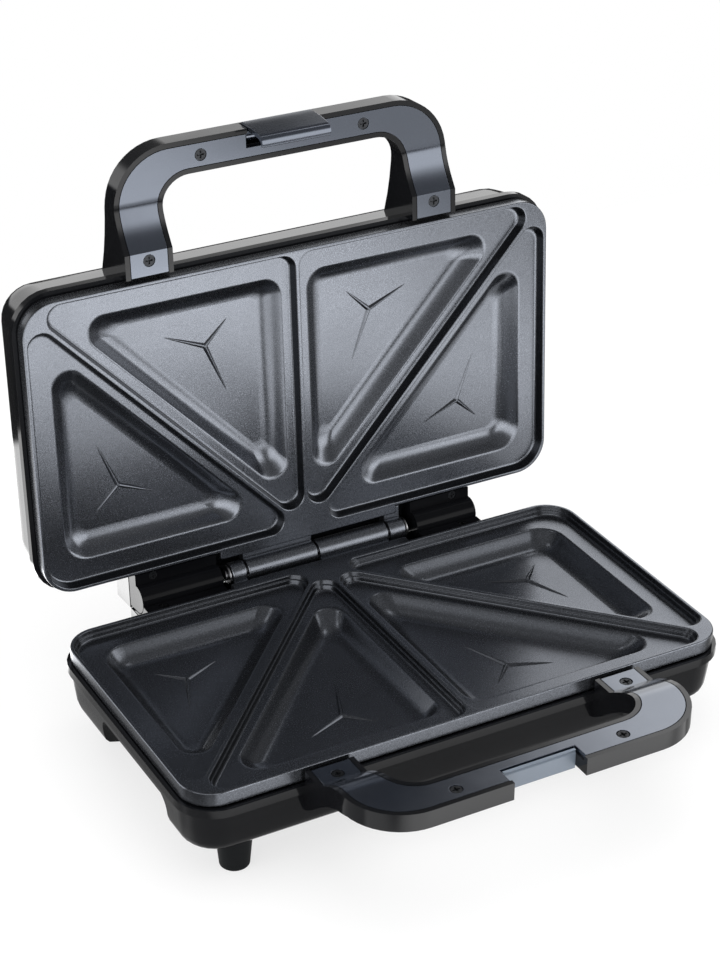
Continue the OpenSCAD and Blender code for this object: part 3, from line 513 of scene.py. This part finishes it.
def painted_shade(obj, place, pockets):
    """Painted shade as a mesh attribute: steep faces of the channel walls, the score ribs and, by a share,
    the pocket walls are darkened where shade falls.
    """
    origin = place((0, 0, 0))
    axes = [(place(e) - origin).normalized() for e in ((1, 0, 0), (0, 1, 0), (0, 0, 1))]
    marks = obj.data.attributes.new("painted_shade", "FLOAT", "POINT")
    for v in obj.data.vertices:
        x, y, z = [(v.co - origin).dot(a) * 1000 for a in axes]
        steep = min(1, 2 * (1 - abs(v.normal.dot(axes[2]))))
        inner = abs(x) < HALF_W - 1 and abs(y) < HALF_D - 1
        share = CHANNEL_SHADE if z > -PAD_DROP - 0.1 else pockets
        if z < FLOOR_Z + SCORE_HIGH + 0.1:
            share = SCORE_SHADE
        marks.data[v.index].value = inner * steep * share


def plate(name, wall, knuckles, place, body, node, pocket_shade):
    """Cooking plate in the face frame, crests up, with its shelf and knuckles, then placed."""
    b = Build()
    rim = b.loft([(rrect(PLATE_W - 2 * e, PLATE_D - 2 * e, PLATE_R - e), z) for e, z in PLATE_EDGE])
    crest_holes, under_holes = [], []
    for side in (1, -1):
        for cell in (0, 1):
            def turned(pts):
                return [(p.x * side, p.y) for p in pts]
            walls = b.loft([(turned(pad_outline(cell, e)), z) for e, z in wall])
            pocket = b.loft([(turned(pocket_outline(cell, p.x)), -PAD_DROP - POCKET_DEPTH * p.y)
                             for p in spline(POCKET_WALL)])
            crest_holes.append(walls[0])
            b.plane(walls[-1], [pocket[0]])
            b.plane(pocket[-1], [])
            bowl = b.loft([(turned(pocket_outline(cell, e)), z) for e, z in BOWL_WALL])
            under_holes.append(bowl[0])
            b.plane(bowl[-1], [])
            score(b, cell, side)
    b.plane(rim[-1], crest_holes)
    b.plane(rim[0], under_holes)
    b.block(SHELF_X, (HALF_D - 2, HALF_D + 3.8), (-PLATE_T, -0.01), 0.7)
    for x in knuckles:
        b.tube(x, HINGE_Y, 0, KNUCKLE_R)
        b.block(x, (HALF_D + 1, HINGE_Y - 1), (-PLATE_T, -1.4), 0.4)
    painted_shade(make(name, b, place, body, node, "nonstick_plate"), place, pocket_shade)


plate("lower_plate_coated", STEPPED_WALL, KNUCKLES_LOW, seat, "base", "lower_plate", 0.5)
plate("upper_plate_coated", PLAIN_WALL, KNUCKLES_UP, turned_on_lid, "lid", "upper_plate", 0.1)


# ---------------------------------------------------------------- pieces dressed from the frame
def dress(node, width):
    """Copy of a CAD piece with its edges softened by width mm and even shading, in its stead."""
    src = frame["nodes"][node]
    me = src.data.copy()
    me.name = node + "_soft"
    bm = bmesh.new()
    bm.from_mesh(me)
    bmesh.ops.remove_doubles(bm, verts=bm.verts, dist=WELD)
    bmesh.ops.dissolve_degenerate(bm, edges=bm.edges, dist=WELD)
    bmesh.ops.dissolve_limit(bm, angle_limit=math.radians(0.6), verts=bm.verts, edges=bm.edges)
    limit = math.radians(BEVEL_FROM)
    edges = [e for e in bm.edges if len(e.link_faces) == 2 and e.calc_face_angle(0) > limit]
    bmesh.ops.bevel(bm, geom=edges, offset=width / 1000, offset_type="OFFSET", segments=2,
                    profile=0.5, affect="EDGES", clamp_overlap=True)
    smooth_by_angle(bm, SOFT_SHARP)
    bm.to_mesh(me)
    bm.free()
    obj = bpy.data.objects.new(node + "_soft", me)
    bpy.context.scene.collection.objects.link(obj)
    me.materials.clear()
    show(obj, src["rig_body"], node, NODE_SLOT[node])


# width in mm of each piece's softened edges
SOFT = {"base_casing": 0.4, "lid_casing": 0.4, "base_handle_cover": 0.35, "lid_handle_cover": 0.35,
        "latch_catch": 0.25, "latch_clip": 0.35, "base_hinge_cover_left": 0.35,
        "base_hinge_cover_right": 0.35, "lid_hinge_cover_left": 0.35, "lid_hinge_cover_right": 0.35,
        "base_handle_screws": 0.2, "lid_handle_screws": 0.2, "base_hinge_screws": 0.18,
        "lid_hinge_screws": 0.18, "front_feet": 0.3, "rear_feet": 0.3, "cord_gland": 0.3,
        "lid_plugs": 0.2, "hinge_pin": 0.3, "pin_clips": 0.1}
for node, width in SOFT.items():
    dress(node, width)

# the other nodes keep their CAD mesh and take their slot's material
for node, obj in frame["nodes"].items():
    if node in SOFT or node in ("lower_plate", "upper_plate"):
        continue
    if not obj.material_slots:
        obj.data.materials.append(None)
    for place in obj.material_slots:
        place.material = SLOTS[NODE_SLOT[node]]

# ---------------------------------------------------------------- camera, from the photograph's fit
EYE = Vector((-0.44282, -0.76880, 0.56892 + FACE_H / 1000))
LOOK = Vector((0.42382, 0.76483, -0.48519)).normalized()
ROLL = math.radians(0.37)
across = LOOK.cross(Vector((0, 0, 1))).normalized()
up = across.cross(LOOK)
right = across * math.cos(ROLL) + up * math.sin(ROLL)
up = up * math.cos(ROLL) - across * math.sin(ROLL)
FOCAL_PX, CENTRE_PX, IMAGE_PX = 2426.1, (361.0, 480.2), (720, 960)
lens = bpy.data.cameras.new("photo_view")
camera = bpy.data.objects.new("photo_view", lens)
bpy.context.scene.collection.objects.link(camera)
camera.matrix_world = Matrix(((right.x, up.x, -LOOK.x, EYE.x), (right.y, up.y, -LOOK.y, EYE.y),
                              (right.z, up.z, -LOOK.z, EYE.z), (0, 0, 0, 1)))
lens.sensor_width = 36
lens.lens = FOCAL_PX * lens.sensor_width / IMAGE_PX[1]
lens.shift_x = (IMAGE_PX[0] / 2 - CENTRE_PX[0]) / IMAGE_PX[1]
lens.shift_y = (CENTRE_PX[1] - IMAGE_PX[1] / 2) / IMAGE_PX[1]
lens.clip_start = 0.01
bpy.context.scene.camera = camera


# ---------------------------------------------------------------- floor, world, lamps
def smooth(tree, value, low, high, a, b):
    """Eased step of a socket: a below low, b above high."""
    node = tree.nodes.new("ShaderNodeMapRange")
    node.interpolation_type = "SMOOTHSTEP"
    tree.links.new(value, node.inputs[0])
    for i, v in enumerate((low, high, a, b)):
        node.inputs[i + 1].default_value = v
    return node.outputs[0]


def mask(tree, value, a, b, c, d):
    """1 between b and c, eased to 0 at a and d."""
    return calc(tree, "MULTIPLY", smooth(tree, value, a, b, 0, 1), smooth(tree, value, c, d, 1, 0))


def layer(tree, under, cover, value):
    """under where cover is 0, value where it is 1."""
    kept = calc(tree, "MULTIPLY", under, calc(tree, "SUBTRACT", 1, cover))
    return calc(tree, "ADD", kept, calc(tree, "MULTIPLY", cover, value))


# what reflections see on the table: x limits, y limits, brightness; later ones lie on top.
# Limits are metres: eased in between the first two, out between the last two; 3 is past the sheet.
TABLE_BASE = 1.2
TABLE_PATCHES = [
    ((-0.12, -0.06, 0.28, 0.42), (-3, -2.9, 1, 1.1), 3.2),
    ((0.0, 0.1, 0.2, 0.3), (-0.47, -0.44, -0.39, -0.35), 6.0),
    ((0.1, 0.15, 3, 3.1), (-0.24, 0.0, 3, 3.1), 0.8),
    ((-3, -2.9, -0.26, -0.21), (-3, -2.9, 0.2, 0.3), 2.4),
    ((-0.25, -0.21, -0.12, -0.09), (-0.4, -0.3, 0.08, 0.13), 0.35),
    ((-0.25, -0.2, 0.17, 0.2), (-0.19, -0.155, -0.06, -0.03), 1.3),
    ((-0.25, -0.2, 0.19, 0.22), (-0.12, -0.105, -0.06, -0.03), 0.4),
    ((-0.4, -0.3, -0.115, -0.09), (0.1, 0.13, 1, 1.1), 1.6),
    ((-0.18, -0.16, -0.115, -0.1), (0.11, 0.13, 0.19, 0.21), 6.0),
    ((-3, -2.9, 3, 3.1), (0.335, 0.345, 3, 3.1), 0.03),
]


def build_floor():
    """Pale sheet; reflections see it as the photograph's table, in patches of light and shade."""
    me = bpy.data.meshes.new("floor")
    x, y = (-1.6, 1.6), (-2.2, 0.45)
    me.from_pydata([(x[0], y[0], 0), (x[1], y[0], 0), (x[1], y[1], 0), (x[0], y[1], 0)], [], [(0, 1, 2, 3)])
    floor = bpy.data.objects.new("floor", me)
    bpy.context.scene.collection.objects.link(floor)
    m = Mat("floor_pale", Roughness=0.7)
    m.set(m.bsdf, "Base Color", m.mix(m.noise(6), rgb(0.93, 0.93, 0.93), rgb(0.95, 0.95, 0.95)))
    m.set(m.bsdf, "Specular IOR Level", 0.1)
    nt = m.nt
    split = nt.nodes.new("ShaderNodeSeparateXYZ")
    nt.links.new(m.coord, split.inputs[0])
    table = TABLE_BASE
    for xs, ys, value in TABLE_PATCHES:
        cover = calc(nt, "MULTIPLY", mask(nt, split.outputs[0], *xs), mask(nt, split.outputs[1], *ys))
        table = layer(nt, table, cover, value)
    glare = nt.nodes.new("ShaderNodeEmission")
    nt.links.new(table, glare.inputs["Strength"])
    path = nt.nodes.new("ShaderNodeLightPath")
    pale = nt.nodes.new("ShaderNodeEmission")
    seen = m.bsdf.outputs[0]
    for share, shader in ((calc(nt, "MULTIPLY", path.outputs["Is Camera Ray"], 0.7), pale),
                          (path.outputs["Is Glossy Ray"], glare)):
        mix = nt.nodes.new("ShaderNodeMixShader")
        nt.links.new(share, mix.inputs[0])
        nt.links.new(seen, mix.inputs[1])
        nt.links.new(shader.outputs[0], mix.inputs[2])
        seen = mix.outputs[0]
    nt.links.new(seen, nt.nodes["Material Output"].inputs["Surface"])
    me.materials.append(m.mat)


def build_world():
    """White to the camera, even soft light, and for reflections a room lit in front and behind.

    The sockets x, y, z are the ray's direction; each layer below sets a brightness over part of it.
    """
    world = bpy.data.worlds.new("room")
    bpy.context.scene.world = world
    world.use_nodes = True
    nt = world.node_tree
    back = nt.nodes["Background"]
    coord = nt.nodes.new("ShaderNodeTexCoord")
    split = nt.nodes.new("ShaderNodeSeparateXYZ")
    nt.links.new(coord.outputs["Generated"], split.inputs[0])
    x, y, z = split.outputs
    # in front: bright low down at both sides of the camera, a soft strip overhead
    wings = calc(nt, "SUBTRACT", 1, mask(nt, x, -0.16, -0.06, 0.26, 0.37))
    low = layer(nt, 0.25, wings, smooth(nt, z, 0.4, 0.62, 3.3, 0.3))
    front = layer(nt, 0.2, smooth(nt, y, -0.2, -0.05, 1, 0), low)
    strip = calc(nt, "MULTIPLY", mask(nt, z, 0.8, 0.83, 0.88, 0.91), mask(nt, y, 0.0, 0.08, 0.2, 0.28))
    front = layer(nt, front, strip, 3)
    # behind: a window right of the object, a paler side on the left, a glow along the ground
    window = calc(nt, "MULTIPLY", mask(nt, x, 0.43, 0.5, 0.58, 0.7), 2.6)
    window = layer(nt, window, smooth(nt, x, -0.5, -0.3, 1, 0), 1.8)
    high = calc(nt, "ADD", calc(nt, "MULTIPLY", window, smooth(nt, z, 0.6, 0.75, 1, 0)), 0.15)
    glow = smooth(nt, y, 0.75, 0.88, 0, 1)
    behind = layer(nt, high, calc(nt, "MULTIPLY", glow, smooth(nt, z, 0.22, 0.34, 1, 0)), 1.6)
    seen = layer(nt, front, smooth(nt, y, 0.1, 0.4, 0, 1), behind)
    # below the horizon it is dark
    seen = calc(nt, "MULTIPLY", seen, smooth(nt, z, -0.05, 0.01, 0.02, 1))
    path = nt.nodes.new("ShaderNodeLightPath")
    strength = seen
    for ray, value in (("Is Diffuse Ray", 0.9), ("Is Camera Ray", 1.0)):
        mix = nt.nodes.new("ShaderNodeMix")
        nt.links.new(path.outputs[ray], mix.inputs[0])
        nt.links.new(strength, mix.inputs[2])
        mix.inputs[3].default_value = value
        strength = mix.outputs[0]
    nt.links.new(strength, back.inputs["Strength"])
    back.inputs["Color"].default_value = (1, 1, 1, 1)


def lamp(name, at, aim, size, power):
    """Soft box that no reflection shows."""
    data = bpy.data.lights.new(name, "AREA")
    data.shape = "RECTANGLE"
    data.size, data.size_y = size
    data.energy = power
    obj = bpy.data.objects.new(name, data)
    bpy.context.scene.collection.objects.link(obj)
    obj.visible_glossy = False
    obj.location = at
    obj.rotation_euler = (Vector(aim) - Vector(at)).to_track_quat("-Z", "Y").to_euler()


build_floor()
build_world()
lamp("top_box", (0.1, -0.1, 1.7), (0, 0, 0), (1.8, 1.6), 12)
lamp("left_box", (-1.5, -0.2, 0.7), (0, 0, 0.1), (1.0, 0.9), 4)
bpy.context.scene.view_settings.view_transform = "Standard"
